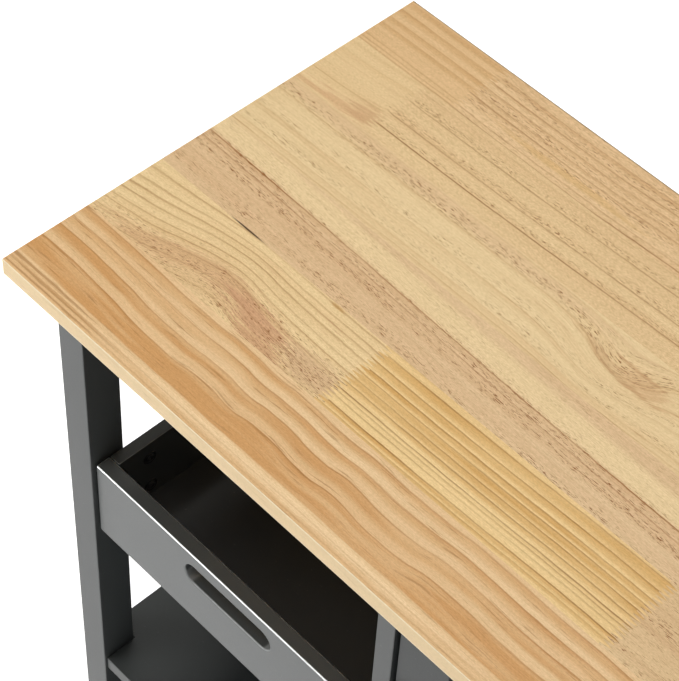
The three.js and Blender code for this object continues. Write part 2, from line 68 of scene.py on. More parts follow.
class Surface:
    """One material, built from small calls whose arguments are numbers or node sockets."""

    MIX_FACTOR, MIX_A, MIX_B, MIX_RESULT = 0, 6, 7, 2

    def __init__(self, name):
        self.material = bpy.data.materials.new(name)
        self.material.use_nodes = True
        self.tree = self.material.node_tree
        self.shader = self.tree.nodes["Principled BSDF"]
        self.coordinates = self.tree.nodes.new("ShaderNodeTexCoord")
        self.metres = self.coordinates.outputs["Object"]

    def add(self, kind, *values, **settings):
        """New node of a kind, with its first inputs fed in order."""
        node = self.tree.nodes.new(kind)
        for key, value in settings.items():
            setattr(node, key, value)
        for socket, value in zip(node.inputs, values):
            self.feed(socket, value)
        return node

    def feed(self, socket, value):
        """Links a socket to another one, or sets it to a number or colour."""
        if isinstance(value, bpy.types.NodeSocket):
            self.tree.links.new(value, socket)
        else:
            socket.default_value = value

    def math(self, operation, *values, clamp=False):
        return self.add("ShaderNodeMath", *values, operation=operation, use_clamp=clamp).outputs[0]

    def times(self, first, second, clamp=False):
        return self.math("MULTIPLY", first, second, clamp=clamp)

    def scaled(self, value, factor, base):
        """Value times a factor, plus a base."""
        return self.math("MULTIPLY_ADD", value, factor, base)

    def millimetres(self, origin):
        """Object position in millimetres from a point of the row frame."""
        scale = (1 / MM,) * 3
        offset = tuple(-value / MM for value in origin)
        node = self.add("ShaderNodeVectorMath", self.metres, scale, offset,
                        operation="MULTIPLY_ADD")
        return node.outputs[0]

    def split(self, vector):
        return self.add("ShaderNodeSeparateXYZ", vector).outputs[:3]

    def join(self, x, y, z):
        return self.add("ShaderNodeCombineXYZ", x, y, z).outputs[0]

    def noise(self, vector, per_mm, detail=2.0, roughness=0.5, seed=0.0):
        """Noise from about -0.5 to 0.5 with its own frequency along each axis."""
        offset = (seed * 7.3, seed * 3.1, seed * 5.7)
        place = self.add("ShaderNodeVectorMath", vector, per_mm, offset, operation="MULTIPLY_ADD")
        node = self.add("ShaderNodeTexNoise")
        self.feed(node.inputs["Vector"], place.outputs[0])
        self.feed(node.inputs["Scale"], 1.0)
        self.feed(node.inputs["Detail"], detail)
        self.feed(node.inputs["Roughness"], roughness)
        return self.math("SUBTRACT", node.outputs[0], 0.5)

    def between(self, value, low, high, out_low=0.0, out_high=1.0):
        """Value mapped smoothly from low..high to out_low..out_high."""
        node = self.add("ShaderNodeMapRange", interpolation_type="SMOOTHSTEP")
        for socket, number in zip(node.inputs, (value, low, high, out_low, out_high)):
            self.feed(socket, number)
        return node.outputs[0]

    def ramp(self, value, stops):
        """Grey level along stops of (place, level), with places in the value's own unit."""
        low, high = stops[0][0], stops[-1][0]
        span = high - low
        place = self.math("DIVIDE", self.math("SUBTRACT", value, low), span, clamp=True)
        node = self.add("ShaderNodeValToRGB", place)
        elements = node.color_ramp.elements
        for element, (position, level) in zip(elements, (stops[0], stops[-1])):
            element.position = (position - low) / span
            element.color = (level, level, level, 1.0)
        for position, level in stops[1:-1]:
            elements.new((position - low) / span).color = (level, level, level, 1.0)
        return node.outputs["Color"]

    def curve(self, value, points):
        """Smooth curve through points of (place, height), in the units of both."""
        low, high = points[0][0], points[-1][0]
        reach = max(abs(height) for _, height in points) + 1.0
        place = self.math("DIVIDE", self.math("SUBTRACT", value, low), high - low, clamp=True)
        node = self.add("ShaderNodeFloatCurve", 1.0, place)
        track = node.mapping.curves[0]
        scaled = [((x - low) / (high - low), 0.5 + y / (2 * reach)) for x, y in points]
        track.points[0].location = scaled[0]
        track.points[1].location = scaled[-1]
        for point in scaled[1:-1]:
            track.points.new(*point)
        node.mapping.update()
        return self.times(self.math("SUBTRACT", node.outputs[0], 0.5), 2 * reach)

    def hill(self, u, v, centre, size):
        """Round hill of height 1 at a centre, with half-lengths along u and v."""
        across = self.math("DIVIDE", self.math("SUBTRACT", u, centre[0]), size[0])
        along = self.math("DIVIDE", self.math("SUBTRACT", v, centre[1]), size[1])
        square = self.scaled(across, across, self.times(along, along))
        return self.math("EXPONENT", self.times(square, -1.0))

    def mix(self, factor, first, second, blend="MIX"):
        node = self.add("ShaderNodeMix", data_type="RGBA", blend_type=blend)
        self.feed(node.inputs[self.MIX_FACTOR], factor)
        self.feed(node.inputs[self.MIX_A], first)
        self.feed(node.inputs[self.MIX_B], second)
        return node.outputs[self.MIX_RESULT]

    def brighten(self, colour, factor):
        """Colour multiplied by a factor that may differ from place to place."""
        return self.mix(1.0, colour, self.join(factor, factor, factor), blend="MULTIPLY")

    def finish(self, colour, roughness, height=None, depth=0.0, **constants):
        """Links the shader. depth is the bump's full height in metres."""
        self.feed(self.shader.inputs["Base Color"], colour)
        self.feed(self.shader.inputs["Roughness"], roughness)
        for name, value in constants.items():
            self.shader.inputs[name.replace("_", " ")].default_value = value
        if height is not None:
            bump = self.add("ShaderNodeBump")
            self.feed(bump.inputs["Distance"], depth)
            self.feed(bump.inputs["Height"], height)
            self.tree.links.new(bump.outputs["Normal"], self.shader.inputs["Normal"])
        return self.material


# ---- Painted, moulded and metal finishes -------------------------------------------------------

def painted(name, colour, texture_depth, gloss, highlight_strength, specular=0.42,
            edge_metal=0.0, grip_height=None):
    """Sprayed satin paint: faint cloudiness, orange peel, and a painted highlight on its rounded
    edges.

    Edges above the given highlight height, in millimetres, get the full painted highlight.
    """
    s = Surface(name)
    place = s.millimetres((0, 0, 0))
    cloud = s.noise(place, (0.006, 0.006, 0.006), detail=3.0)
    grain = s.noise(place, (0.25, 0.25, 0.03), detail=3.0, seed=1.0)
    peel = s.noise(place, (0.9, 0.9, 0.9), seed=2.0)
    dust = s.between(s.noise(place, (0.35, 0.35, 0.35), detail=4.0, seed=3.0), 0.17, 0.26)
    tinted = s.brighten(colour, s.scaled(grain, 0.05, s.scaled(cloud, 0.16, 1.0)))
    tinted = s.mix(s.times(dust, 0.05), tinted, DUST)

    # A face of a board looks straight along one axis, and a rounded edge between two of them.
    normal = s.split(s.coordinates.outputs["Normal"])
    turns = [s.math("ABSOLUTE", part) for part in normal]
    straight = s.math("MAXIMUM", s.math("MAXIMUM", turns[0], turns[1]), turns[2])
    edge = s.between(straight, 0.9, 0.995, 1.0, 0.0)
    # Edges that face up get more of the painted highlight, as if lit from above.
    lit_from_above = s.between(normal[2], 0.0, 0.7, 0.25, 1.0)
    edge_highlight = s.times(edge, s.scaled(cloud, 0.8, 1.0))
    edge_highlight = s.times(s.times(edge_highlight, lit_from_above), highlight_strength, clamp=True)
    # Below the highlight height the painted highlight is weaker.
    if grip_height is not None:
        above_floor = s.split(place)[2]
        highlight_band = s.between(above_floor, grip_height - HIGHLIGHT_FADE, grip_height, 0.3, 1.0)
        edge_highlight = s.times(edge_highlight, highlight_band)
    # Rounded edges are mixed towards near-white: a painted highlight.
    tinted = s.mix(edge_highlight, tinted, EDGE_HIGHLIGHT_COLOUR)

    if edge_metal:
        s.feed(s.shader.inputs["Metallic"], s.times(edge_highlight, edge_metal))

    rough = s.scaled(cloud, 0.12, s.scaled(peel, 0.08, gloss))
    height = s.scaled(grain, 0.4, peel)
    return s.finish(tinted, rough, height, texture_depth, Specular_IOR_Level=specular)


def moulded(name, colour, gloss, mark_colour):
    """Moulded plastic or rubber: fine matt grain with paler scuffs."""
    s = Surface(name)
    place = s.millimetres((0, 0, 0))
    fine = s.noise(place, (2.2, 2.2, 2.2), detail=3.0)
    broad = s.noise(place, (0.08, 0.08, 0.08), detail=4.0, seed=4.0)
    scuff = s.between(broad, 0.08, 0.24, 0.0, 0.35)
    tinted = s.mix(scuff, colour, mark_colour)
    tinted = s.brighten(tinted, s.scaled(fine, 0.14, 1.0))
    rough = s.scaled(broad, 0.2, gloss)
    return s.finish(tinted, rough, fine, 0.05 * MM)


def plated(name, colour, gloss):
    """Nickel-plated steel: drawn scratches and a few duller spots."""
    s = Surface(name)
    place = s.millimetres((0, 0, 0))
    scratch = s.noise(place, (3.0, 3.0, 0.25), detail=3.0)
    stain = s.noise(place, (0.15, 0.15, 0.15), detail=4.0, seed=5.0)
    tinted = s.brighten(colour, s.scaled(stain, 0.25, 1.0))
    rough = s.scaled(scratch, 0.16, s.scaled(stain, 0.2, gloss))
    return s.finish(tinted, rough, scratch, 0.01 * MM, Metallic=1.0)


def tyre_rubber(name, colour):
    """Grey tread rubber: a fine grain, with lighter and darker patches."""
    s = Surface(name)
    place = s.millimetres((0, 0, 0))
    grain = s.noise(place, (1.6, 1.6, 1.6), detail=4.0)
    patch = s.noise(place, (0.12, 0.12, 0.12), detail=3.0, seed=6.0)
    tinted = s.brighten(colour, s.scaled(patch, 0.5, 1.0))
    rough = s.scaled(grain, 0.2, 0.7)
    return s.finish(tinted, rough, grain, 0.08 * MM)


DUST = (0.6, 0.6, 0.6, 1.0)
# Near-white colour of the painted highlight on rounded painted edges.
EDGE_HIGHLIGHT_COLOUR = linear(250, 252, 251)
# The painted highlight on the tray front's edges is full down to this far below its rim,
# then fades out over the fade.
HIGHLIGHT_REACH = 3
HIGHLIGHT_FADE = 8
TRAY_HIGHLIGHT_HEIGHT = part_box("tray_front")[1].z / MM - HIGHLIGHT_REACH
FINISHES = {
    "slate_paint": painted("slate_paint", linear(63, 66, 66), 0.03 * MM, 0.4, 0.12),
    # A lighter copy of the slate paint for the tray front: painted light.
    "lit_tray_paint": painted("lit_tray_paint", linear(78, 81, 81), 0.03 * MM, 0.36, 1.0,
                          specular=0.5, edge_metal=0.95, grip_height=TRAY_HIGHLIGHT_HEIGHT),
    # A darker copy of the slate paint for the doors: painted shade.
    "door_paint": painted("door_paint", linear(42, 45, 46), 0.03 * MM, 0.44, 0.12, specular=0.36),
    "dark_board": painted("dark_board", linear(50, 53, 56), 0.05 * MM, 0.5, 0.05),
    "black_plastic": moulded("black_plastic", linear(30, 31, 32), 0.5, linear(62, 63, 64)),
    "caster_black": moulded("caster_black", linear(26, 27, 28), 0.42, linear(58, 59, 60)),
    "nickel": plated("nickel", linear(196, 194, 188), 0.3),
    "wheel_grey": tyre_rubber("wheel_grey", linear(98, 100, 102)),
}


# ---- Pine boards of the worktop ----------------------------------------------------------------

# A growth line runs along the board with a sharp back edge at `top`. Its tone fades to the front
# over `fade`, after staying full over the share `hold`. `level` is the strength of the amber band,
# `core` that of the thin dark edge.
Line = namedtuple("Line", "top fade hold level core")
# A patch or knot lies round a centre with half-lengths along and across the board. A patch that
# follows the grain bends with the growth lines. `ragged` breaks up its edge.
Patch = namedtuple("Patch", "centre size colour strength follows ragged", defaults=(False, 1.0))
Knot = namedtuple("Knot", "centre size dip")

# Edges of the six glued strips, from the front to the back, in millimetres.
STRIP_EDGES = (0.0, 87.0, 163.0, 236.0, 308.5, 381.5, 450.0)
FINGER_PITCH = 3.8
FINGER_LENGTH = 8.5
TOP_ROUNDING = 1.1
# The fingers start this far inside a strip, clear of the worktop's rounded rim.
RIM_CLEARANCE = 1.3
# Shares of a finger's pitch: its slope starts, its flat tip starts and ends, its slope ends.
FINGER_SHAPE = (0.08, 0.42, 0.58, 0.92)
LINES_PER_RAMP = 6

# Display colours of the wood between the lines, of the bands and of their thin dark edges.
CREAM = (231, 204, 158)
HONEY = (210, 168, 112)
UMBER = (156, 104, 36)
# The pores; the front and back faces, painted paler for the light on them; the painted highlight
# on the rounded edges of the front and the ends; and the darker rounded edges of the back.
FLECK = linear(134, 80, 24)
LIT_FACE_TONE = linear(240, 218, 172)
ARRIS_HIGHLIGHT = linear(252, 240, 212)
BACK_ARRIS = linear(150, 112, 70)
# Heights, from the top face, over which a painted highlight fades in along the lower edge of the
# front and back faces.
LOWER_EDGE = (-16.8, -15.6)
# Darker fibres are also redder: how far red, green and blue follow the grain's tone.
DARKENING = (1.0, 1.15, 1.6)


def line_stops(lines):
    """Stops of the band tone and of the dark core for a group of growth lines."""
    lines = sorted(lines)
    end = lines[0].top - lines[0].fade - 1.0
    bands = [(end, 0.0)]
    cores = [(end, 0.0)]
    for line in lines:
        low = max(line.top - line.fade, end + 0.1)
        full = line.top - (line.top - low) * line.hold - 0.3
        bands += [(low, 0.0), (max(full, low + 0.1), line.level), (line.top, line.level)]
        cores += [(line.top - 1.3, 0.0), (line.top - 0.4, line.core), (line.top, line.core)]
        end = line.top + 0.5
        bands.append((end, 0.0))
        cores.append((end, 0.0))
    bands.append((end + 1.0, 0.0))
    cores.append((end + 1.0, 0.0))
    return bands, cores


def growth_lines(s, across, lines):
    """Sums of band tone and dark core over all of a board's growth lines."""
    band, core = 0.0, 0.0
    ordered = sorted(lines)
    for start in range(0, len(ordered), LINES_PER_RAMP):
        band_stops, core_stops = line_stops(ordered[start:start + LINES_PER_RAMP])
        band = s.math("ADD", s.ramp(across, band_stops), band)
        core = s.math("ADD", s.ramp(across, core_stops), core)
    return band, core


def pine(name, origin, lines, pale=CREAM, amber=HONEY, dark=UMBER, bend=(), gain=(), knots=(),
         patches=(), fleck_rows=(), flecks=0.25, mottle=0.5, wander=3.0, tilt=0.35, seed=0.0):
    """Lacquered pine board. Lines run along u, and v goes across from the front edge.

    bend shifts the lines across along the board, by a share that gain sets for each v.
    """
    pale, amber, dark = linear(*pale), linear(*amber), linear(*dark)
    s = Surface(name)
    u, v, w = s.split(s.millimetres(origin))
    across = s.scaled(w, tilt, v)
    plan = s.join(u, across, s.times(w, 0.3))

    # The lines bend along the board, dip round the knots and waver a little.
    if bend:
        shift = s.curve(u, bend)
        if gain:
            shift = s.times(shift, s.ramp(v, gain))
        across = s.math("SUBTRACT", across, shift)
    for knot in knots:
        dip = s.times(s.hill(u, v, knot.centre, knot.size), knot.dip)
        across = s.math("ADD", across, dip)
    drift = s.noise(plan, (0.007, 0.02, 0.02), seed=seed)
    ripple = s.noise(plan, (0.05, 0.12, 0.12), seed=seed + 1)
    across = s.scaled(drift, wander, across)
    across = s.scaled(ripple, 1.2, across)
    flow = s.join(u, across, s.times(w, 0.3))

    # Fibres, streaks and specks follow the lines, and so does the strength of the lines.
    broad = s.noise(flow, (0.0035, 0.07, 0.07), detail=3.0, seed=seed + 2)
    fibre = s.noise(flow, (0.012, 0.9, 0.9), detail=4.0, roughness=0.65, seed=seed + 3)
    streak = s.noise(flow, (0.03, 0.6, 0.6), detail=3.0, seed=seed + 8)
    speckle = s.noise(plan, (0.45, 1.7, 1.7), seed=seed + 9)
    fade = s.between(s.noise(flow, (0.008, 0.12, 0.12), seed=seed + 4), -0.25, 0.25, 0.5, 1.25)
    band, core = growth_lines(s, across, lines)
    band = s.times(band, fade, clamp=True)
    core = s.times(core, fade, clamp=True)

    # Bands on the plain wood, then patches, then the dark edges of the lines.
    ground = s.mix(s.between(broad, -0.3, 0.35, 0.0, 0.55), pale, amber)
    colour = s.mix(band, ground, amber)
    for patch in patches:
        hill = s.hill(u, across if patch.follows else v, patch.centre, patch.size)
        edge = s.scaled(streak, patch.ragged, hill)
        mask = s.between(edge, 0.15, 0.75, 0.0, patch.strength)
        colour = s.mix(mask, colour, linear(*patch.colour))
    colour = s.mix(core, colour, dark)
    tone = s.scaled(speckle, mottle, s.times(fibre, 0.32))
    shade = s.join(*[s.scaled(tone, depth, 1.0) for depth in DARKENING])
    colour = s.mix(1.0, colour, shade, blend="MULTIPLY")

    # Pores are short dark dashes, dense in some rows and in clumps.
    dash = s.noise(flow, (0.18, 1.9, 1.9), detail=1.0, seed=seed + 5)
    density = flecks
    for low, high, strength in fleck_rows:
        row = s.hill(0.0, across, (0.0, (low + high) / 2), (1.0, (high - low) / 2))
        density = s.scaled(row, strength, density)
    clump = s.between(s.noise(flow, (0.025, 0.2, 0.2), seed=seed + 6), -0.15, 0.2)
    density = s.times(density, s.scaled(clump, 0.75, 0.25))
    pores = s.times(s.between(dash, 0.08, 0.18), s.times(density, 1.4), clamp=True)
    colour = s.mix(pores, colour, FLECK)

    # Sawn ends are darker. The front and back faces are painted paler for the light on them, the
    # rounded edges of the front and the ends get a painted highlight, and those of the back are
    # darker.
    normal_x, normal_y, normal_z = s.split(s.coordinates.outputs["Normal"])
    end_grain = s.between(s.math("ABSOLUTE", normal_x), 0.4, 0.8)
    cut = s.noise(s.join(0.0, v, w), (1.0, 1.4, 1.4), detail=3.0, seed=seed + 7)
    darker = s.scaled(cut, 0.35, 0.8)
    colour = s.mix(end_grain, colour, s.brighten(colour, darker))

    # Painted light: the front and back faces are paler.
    lit_face = s.between(s.math("ABSOLUTE", normal_y), 0.4, 0.8, 0.0, 0.55)
    colour = s.mix(lit_face, colour, LIT_FACE_TONE)
    slope = s.math("ABSOLUTE", normal_z)
    # Painted highlight on the rounded edges of the front and the ends; the back's are darker.
    arris = s.times(s.between(slope, 0.1, 0.4), s.between(slope, 0.75, 0.97, 0.75, 0.0))
    arris_shading = s.mix(s.between(normal_y, 0.0, 0.5), ARRIS_HIGHLIGHT, BACK_ARRIS)
    colour = s.mix(arris, colour, arris_shading)
    # Painted highlight along the lower edge of the front and back faces.
    lower_edge = s.times(s.between(w, *LOWER_EDGE, 0.8, 0.0), lit_face)
    colour = s.mix(lower_edge, colour, ARRIS_HIGHLIGHT)

    rough = s.scaled(fibre, 0.15, s.scaled(end_grain, 0.2, 0.5))
    height = s.scaled(s.math("ADD", core, pores), -0.6, s.math("ADD", fibre, speckle))
    return s.finish(colour, rough, height, 0.05 * MM, Specular_IOR_Level=0.3)


def plain_lines(seed, low, high):
    """Growth lines of a quiet board, spaced unevenly between its edges."""
    rng = random.Random(seed)
    lines = []
    top = low + rng.uniform(4, 9)
    while top < high - 3:
        fade = rng.uniform(4, 10)
        hold = rng.uniform(0.1, 0.4)
        level = rng.uniform(0.3, 0.7)
        core = rng.uniform(0.1, 0.5)
        lines.append(Line(top, fade, hold, level, core))
        top += rng.uniform(7, 15)
    return lines


FRONT_LINES = [
    Line(3.2, 1.6, 0.3, 0.3, 0.15), Line(9.0, 2.2, 0.3, 0.25, 0.2),
    Line(36.0, 21.0, 0.93, 1.0, 0.5), Line(54.0, 11.5, 0.7, 0.9, 0.45),
    Line(68.5, 10.0, 0.35, 0.75, 0.4), Line(82.0, 9.0, 0.3, 0.8, 0.4),
]
FRONT_BEND = [
    (0, 4), (30, 4.6), (56, 3.4), (90, 1.4), (122, -1.6), (150, -2.2), (180, -0.4), (200, 0.2),
    (226, -2), (252, 0.6), (280, -0.4), (308, -2.4), (334, 0.2), (377, -3), (420, 0.6), (452, 3),
    (519, 1), (563, 2.2), (620, -0.5), (700, -1), (780, 1.5), (900, 2), (1200, -2),
]
ARCH_LINES = [
    Line(96.0, 5.0, 0.2, 0.3, 0.25), Line(110.0, 6.0, 0.2, 0.35, 0.35),
    Line(121.0, 6.0, 0.2, 0.4, 0.35), Line(130.5, 5.0, 0.2, 0.35, 0.4),
    Line(137.0, 4.0, 0.2, 0.3, 0.4), Line(145.0, 4.5, 0.2, 0.3, 0.5),
    Line(151.0, 4.0, 0.2, 0.3, 0.5), Line(156.0, 3.5, 0.2, 0.25, 0.4),
    Line(163.0, 4.0, 0.2, 0.25, 0.4), Line(171.0, 4.0, 0.2, 0.2, 0.3),
    Line(179.0, 4.0, 0.2, 0.2, 0.3),
]
ARCH_BEND = [
    (0, -27), (50, -20), (84, -11), (112, -3.5), (135, 0), (174, -4.5), (210, -7), (266, -8.5),
]
AMBER_LINES = [
    Line(88.9, 3.5, 0.3, 0.6, 0.2), Line(94.4, 4.5, 0.5, 0.8, 0.7), Line(101.0, 2.0, 0.2, 0.2, 0.3),
    Line(105.5, 2.5, 0.2, 0.25, 0.4), Line(108.9, 2.5, 0.2, 0.3, 0.7),
    Line(116.2, 5.5, 0.4, 0.6, 0.55), Line(123.3, 6.5, 0.55, 0.9, 0.5),
    Line(130.7, 6.8, 0.55, 0.9, 0.6), Line(137.3, 6.0, 0.55, 0.85, 0.5),
    Line(146.2, 8.0, 0.5, 0.85, 0.5), Line(156.7, 9.5, 0.5, 0.75, 0.5),
    Line(165.0, 5.0, 0.2, 0.4, 0.2),
]
SLANTED_LINES = [
    Line(178.0, 6.0, 0.3, 0.15, 0.0), Line(190.0, 7.0, 0.3, 0.2, 0.05),
    Line(199.5, 5.5, 0.4, 0.3, 0.12), Line(206.5, 6.0, 0.4, 0.45, 0.5),
    Line(214.6, 7.0, 0.5, 0.6, 0.8), Line(238.0, 6.0, 0.2, 0.15, 0.05),
]
SWIRL_LINES = [
    Line(238.5, 3.5, 0.3, 0.3, 0.3), Line(244.5, 5.0, 0.3, 0.35, 0.1),
    Line(265.0, 6.0, 0.2, 0.35, 0.15), Line(290.5, 3.5, 0.3, 0.35, 0.3),
    Line(299.0, 5.0, 0.3, 0.2, 0.0), Line(306.0, 4.0, 0.3, 0.25, 0.1),
]
CALM_LINES = [
    Line(322.5, 2.6, 0.4, 0.3, 0.75), Line(338.7, 3.4, 0.4, 0.35, 0.6),
    Line(360.5, 3.0, 0.4, 0.3, 0.6), Line(376.0, 4.0, 0.3, 0.25, 0.2),
]
BACK_LINES = [
    Line(382.5, 1.4, 0.3, 0.3, 0.6), Line(388.0, 1.6, 0.3, 0.3, 0.25),
    Line(405.5, 3.5, 0.3, 0.5, 0.5), Line(412.0, 4.0, 0.4, 0.4, 0.2),
    Line(421.0, 4.0, 0.4, 0.55, 0.3), Line(429.0, 3.0, 0.4, 0.6, 0.55),
    Line(440.0, 6.0, 0.5, 0.6, 0.15), Line(448.0, 3.0, 0.4, 0.3, 0.1),
]
BACK_LEFT_LINES = [
    Line(383.0, 1.2, 0.3, 0.4, 0.5), Line(386.5, 1.2, 0.3, 0.4, 0.4),
    Line(391.0, 1.4, 0.3, 0.4, 0.25), Line(411.0, 6.0, 0.4, 0.7, 0.1),
    Line(421.0, 6.5, 0.5, 0.8, 0.1), Line(434.5, 8.0, 0.5, 0.9, 0.1),
    Line(447.0, 7.0, 0.6, 0.8, 0.05),
]

# A dark shake in the glue line between the second and the third strip.
CRACK = Patch((105, 163.2), (18, 0.95), (60, 28, 2), 0.97, False, 0.5)

# The sharp back edge of the top is a little darker.
BACK_RIM = Patch((400, 450.2), (2000, 1.9), (120, 92, 64), 0.9, False, 0.3)

# Boards of each strip from left to right: where the finger joint at the right end lies, and the
# grain of the board. The last board of a strip runs to the worktop's right end.
STRIPS = [
    [
        (772, dict(lines=FRONT_LINES, bend=FRONT_BEND, wander=2.5, flecks=0.06, tilt=0.1,
                   gain=((0, 0), (12, 0), (30, 1), (56, 0.9), (70, 0.5), (87, 0.5)),
                   pale=(229, 197, 152), amber=(202, 151, 94), dark=(156, 100, 40), mottle=0.45,
                   patches=(Patch((30, 13), (80, 1.3), (150, 96, 34), 0.6, False, 2.0),
                            Patch((60, 7.5), (80, 1.1), (160, 108, 46), 0.55, False, 2.0),
                            Patch((20, 3.5), (60, 1.0), (166, 116, 62), 0.5, False, 2.0),
                            Patch((300, 10), (200, 5.0), (238, 208, 164), 0.7)))),
        (None, dict(lines=plain_lines(11, 0, 87), bend=((700, 3), (850, -3), (1000, 2), (1200, 6)),
                    pale=(226, 190, 144), amber=(202, 156, 100))),
    ],
    [
        (265, dict(lines=ARCH_LINES, bend=ARCH_BEND, wander=1.5, flecks=0.12, mottle=0.55,
                   gain=((87, 1), (109, 1), (127, 0.85), (137, 0.68), (152, 0.4), (163, 0.2)),
                   pale=(232, 205, 156), amber=(212, 174, 124), dark=(150, 96, 30),
                   fleck_rows=((90, 126, 1.5),),
                   patches=(Patch((60, 98), (110, 14), (214, 178, 132), 0.6, True, 0.8),
                            Patch((110, 116), (100, 11), (207, 166, 122), 0.8, True, 1.2),
                            Patch((176, 110), (46, 11), (198, 150, 112), 0.8, True, 1.8),
                            Patch((196, 96), (34, 8), (202, 156, 116), 0.8, True, 1.8),
                            Patch((240, 110), (34, 14), (206, 170, 130), 0.8, True, 1.4),
                            Patch((209, 161), (8, 1.8), (190, 142, 74), 0.6, False, 0.4), CRACK))),
        (551, dict(lines=AMBER_LINES, wander=0.8, flecks=0.04,
                   bend=((265, 0), (330, 0.2), (420, 1.6), (480, 3.4), (552, 4.3)),
                   pale=(236, 206, 151), amber=(207, 161, 94), dark=(138, 88, 26))),
        (905, dict(lines=(Line(98.0, 6.0, 0.3, 0.3, 0.1), Line(123.0, 5.0, 0.4, 0.6, 0.2),
                          Line(141.0, 9.0, 0.3, 0.3, 0.1), Line(158.0, 7.0, 0.3, 0.3, 0.1)),
                   wander=6.0, flecks=0.5, fleck_rows=((94, 102, 0.9), (124, 134, 1.2)),
                   pale=(218, 187, 142), amber=(204, 166, 124))),
        (None, dict(lines=plain_lines(24, 87, 163), bend=((900, 0), (1050, 5), (1200, 2)),
                    pale=(230, 200, 150), amber=(210, 168, 106))),
    ],
    [
        (668, dict(lines=SLANTED_LINES, wander=1.2, flecks=0.3, mottle=0.5,
                   bend=((0, 0), (150, -4), (330, -11), (520, -15.5), (700, -19)),
                   pale=(221, 190, 148), amber=(206, 166, 124), dark=(150, 92, 30),
                   patches=(Patch((300, 226), (900, 12), (230, 203, 156), 0.85, True, 0.6), CRACK),
                   fleck_rows=((196, 202, 1.9), (206, 210, 1.9), (212, 217, 1.0),
                               (172, 182, 1.0)))),
        (1010, dict(lines=plain_lines(32, 163, 236), bend=((660, -4), (800, 3), (1010, -2)),
                    flecks=0.35, pale=(220, 185, 139), amber=(204, 162, 112))),
        (None, dict(lines=plain_lines(33, 163, 236), flecks=0.3, pale=(231, 206, 160))),
    ],
    [
        (836, dict(lines=SWIRL_LINES, wander=2.0, flecks=0.12,
                   bend=((0, 0), (150, 0.5), (300, 1), (420, 0), (600, 3), (840, -2)),
                   pale=(230, 204, 158), amber=(212, 176, 128), dark=(164, 114, 54), mottle=0.4,
                   knots=(Knot((393, 272), (44, 26), 17.0), Knot((446, 296), (26, 20), -8.0)),
                   patches=(Patch((418, 279), (26, 10), (207, 168, 124), 0.7, False, 1.4),
                            Patch((376, 291), (26, 3), (192, 150, 106), 0.5, True, 1.6),
                            Patch((414, 287), (26, 1.8), (184, 138, 92), 0.5, False, 1.8),
                            Patch((410, 270.5), (24, 1.8), (184, 138, 92), 0.5, False, 1.8),
                            Patch((150, 300), (260, 8), (219, 186, 144), 0.75)),
                   fleck_rows=((290, 302, 1.5), (266, 273, 0.9), (247, 253, 0.9)))),
        (None, dict(lines=plain_lines(42, 236, 308), bend=((830, -3), (960, 4), (1200, -4)),
                    pale=(217, 182, 136), amber=(200, 156, 106))),
    ],
    [
        (83, dict(lines=(Line(333.0, 1.2, 0.3, 0.2, 0.35), Line(345.0, 5.0, 0.2, 0.2, 0.1),
                         Line(356.5, 4.0, 0.3, 0.25, 0.15), Line(367.0, 4.0, 0.3, 0.35, 0.15),
                         Line(379.0, 4.0, 0.3, 0.2, 0.05)),
                  bend=((0, -4), (40, -2), (84, 3)), flecks=0.08,
                  pale=(228, 199, 152), amber=(212, 176, 126), dark=(160, 112, 56), mottle=0.7,
                  patches=(Patch((18, 312), (34, 3.0), (211, 171, 127), 0.75),
                           Patch((52, 315), (28, 6.0), (209, 167, 124), 0.7, False, 1.6),
                           Patch((76, 320), (24, 11.0), (202, 160, 118), 0.75, False, 2.0)))),
        (642, dict(lines=CALM_LINES, bend=((84, 0), (200, 0.8), (300, 3.2), (400, 6), (642, 9)),
                   wander=0.8, flecks=0.12,
                   pale=(224, 194, 147), amber=(210, 172, 126), dark=(138, 84, 18), mottle=0.75,
                   fleck_rows=((324, 328, 2.0), (340, 345, 2.4), (362, 367, 2.2)))),
        (985, dict(lines=plain_lines(53, 308, 381), flecks=0.35, pale=(229, 202, 155))),
        (None, dict(lines=plain_lines(54, 308, 381), pale=(221, 188, 142))),
    ],
    [
        (115, dict(lines=BACK_LEFT_LINES, wander=1.5, flecks=0.08, patches=(BACK_RIM,),
                   pale=(222, 187, 140), amber=(204, 161, 110), dark=(150, 102, 46), mottle=0.7)),
        (702, dict(lines=BACK_LINES, wander=4.5, flecks=0.4,
                   bend=((115, 0), (250, -1), (345, 3), (702, 8)),
                   pale=(225, 192, 147), amber=(205, 164, 118), dark=(146, 92, 28), mottle=0.7,
                   patches=(Patch((232, 396), (80, 4.5), (211, 170, 112), 0.6, False, 1.2),
                            BACK_RIM,
                            Patch((225, 449.5), (4, 1.6), (132, 94, 60), 0.8)),
                   fleck_rows=((432, 438, 1.4), (398, 403, 1.4), (412, 418, 1.2)))),
        (None, dict(lines=plain_lines(63, 381, 450), bend=((700, 2), (900, -4), (1200, 3)),
                    patches=(BACK_RIM,), pale=(218, 181, 134), amber=(200, 154, 102))),
    ],
]


def finger_joint(x, low, high):
    """Comb line of a finger joint, from the strip's front edge to its back edge."""
    left, right = x - FINGER_LENGTH / 2, x + FINGER_LENGTH / 2
    sides = (left, right, right, left)
    first, last = low + RIM_CLEARANCE, high - RIM_CLEARANCE
    count = round((last - first) / FINGER_PITCH)
    pitch = (last - first) / count
    points = [(left, low)]
    for i in range(count):
        start = first + i * pitch
        points += [(side, start + share * pitch) for side, share in zip(sides, FINGER_SHAPE)]
    points.append((left, high))
    return points


